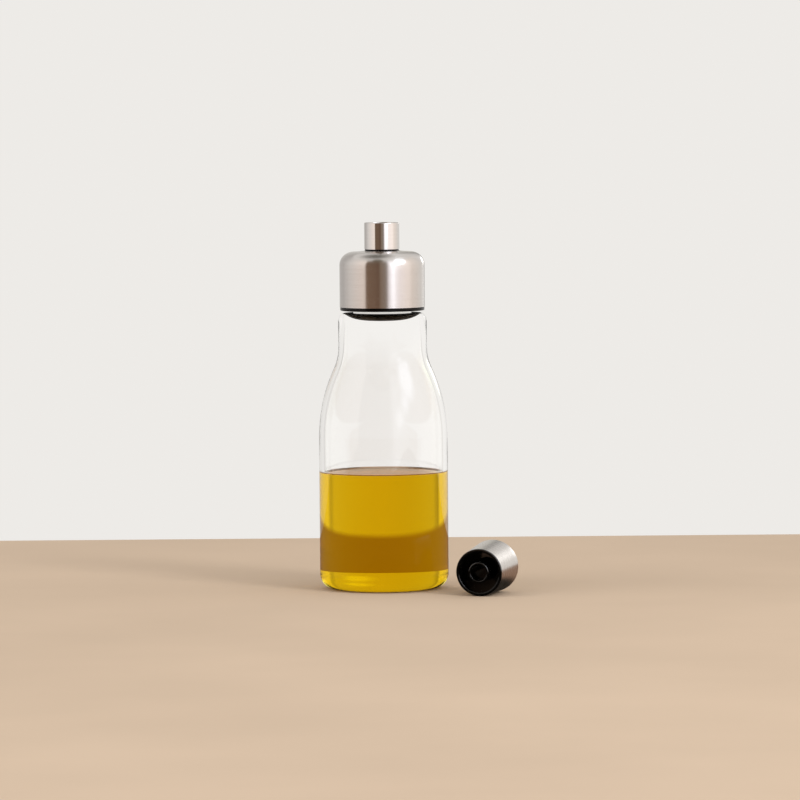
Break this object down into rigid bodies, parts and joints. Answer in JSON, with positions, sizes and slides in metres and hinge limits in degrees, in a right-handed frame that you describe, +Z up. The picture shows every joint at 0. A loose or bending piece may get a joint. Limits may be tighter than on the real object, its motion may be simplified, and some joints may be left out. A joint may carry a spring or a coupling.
{
  "type": "oil dispenser bottle",
  "caption": "Clear glass bottle part filled with golden oil, with a rounded steel collar and pouring spout on its neck and its loose lined steel cap lying beside it.",
  "frame": {"origin": "middle of the bottle's flat base, on the surface it stands on", "axes": "+Z up along the bottle's axis, -Y the way the loose cap's mouth faces, +X from the bottle towards the cap"},
  "size_m": [0.0999, 0.0635, 0.1764],
  "materials": {
    "clear_glass": "clear and smooth",
    "golden_oil": "clear golden liquid",
    "satin_steel": "satin, brushed round",
    "polished_steel": "polished",
    "black_plastic": "glossy moulded",
    "pale_plastic": "milky moulded",
    "black_silicone": "matt, soft"
  },
  "bodies": {
    "root": {"glass_bottle": "clear_glass", "oil": "golden_oil", "pourer_core": "black_plastic", "plug": "pale_plastic", "seal_ring": "black_silicone", "collar": "satin_steel", "spout": "polished_steel", "cap_shell": "satin_steel", "cap_insert": "black_plastic"}
  },
  "joints": []
}
